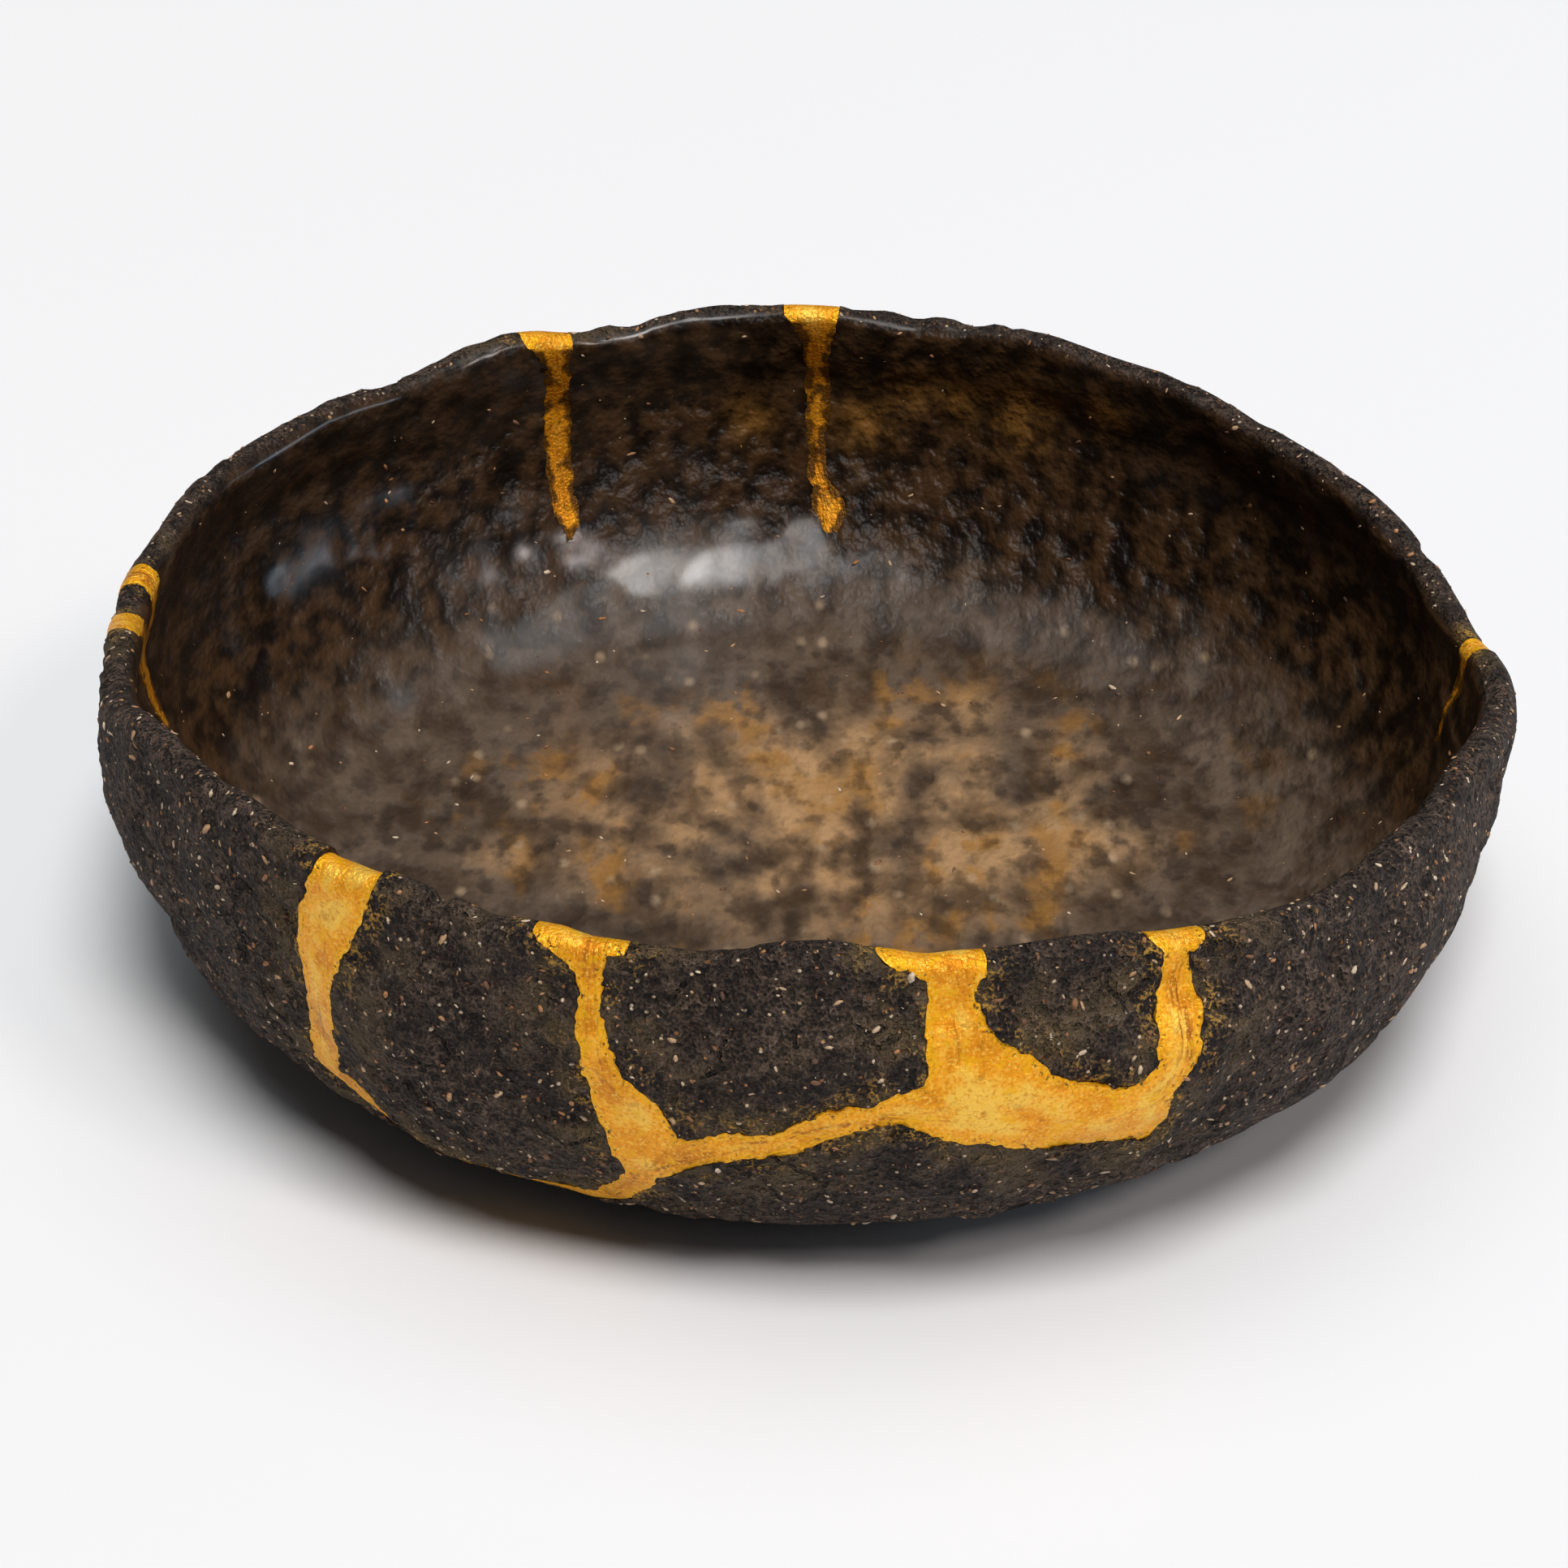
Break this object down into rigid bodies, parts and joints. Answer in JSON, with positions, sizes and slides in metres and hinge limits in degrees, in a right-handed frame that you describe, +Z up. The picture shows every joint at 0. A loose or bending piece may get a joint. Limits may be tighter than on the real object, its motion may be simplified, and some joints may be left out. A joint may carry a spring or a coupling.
{
  "type": "kintsugi bowl",
  "caption": "Shallow hand-pinched bowl of dark coarse clay, broken and rejoined with gold lacquer seams, for display or serving.",
  "frame": {"origin": "middle of the outline, at the level the foot rests on", "axes": "+Z up through the open mouth, -Y towards the side with most of the repairs, +X to the right of that side"},
  "size_m": [0.1954, 0.1994, 0.0561],
  "materials": {
    "dark_clay": "matt, coarse and grainy outside, satin dark glaze inside",
    "gold_lacquer": "satin gold-dusted lacquer with brush marks"
  },
  "bodies": {
    "root": {"bowl_body": "dark_clay", "sherd_front_left": "dark_clay", "sherd_front_centre": "dark_clay", "sherd_front_right": "dark_clay", "sherd_left_rim": "dark_clay", "gold_seam_front": "gold_lacquer", "gold_seam_left": "gold_lacquer", "gold_seam_right": "gold_lacquer", "gold_seam_back_left": "gold_lacquer", "gold_seam_back_centre": "gold_lacquer"}
  },
  "joints": []
}
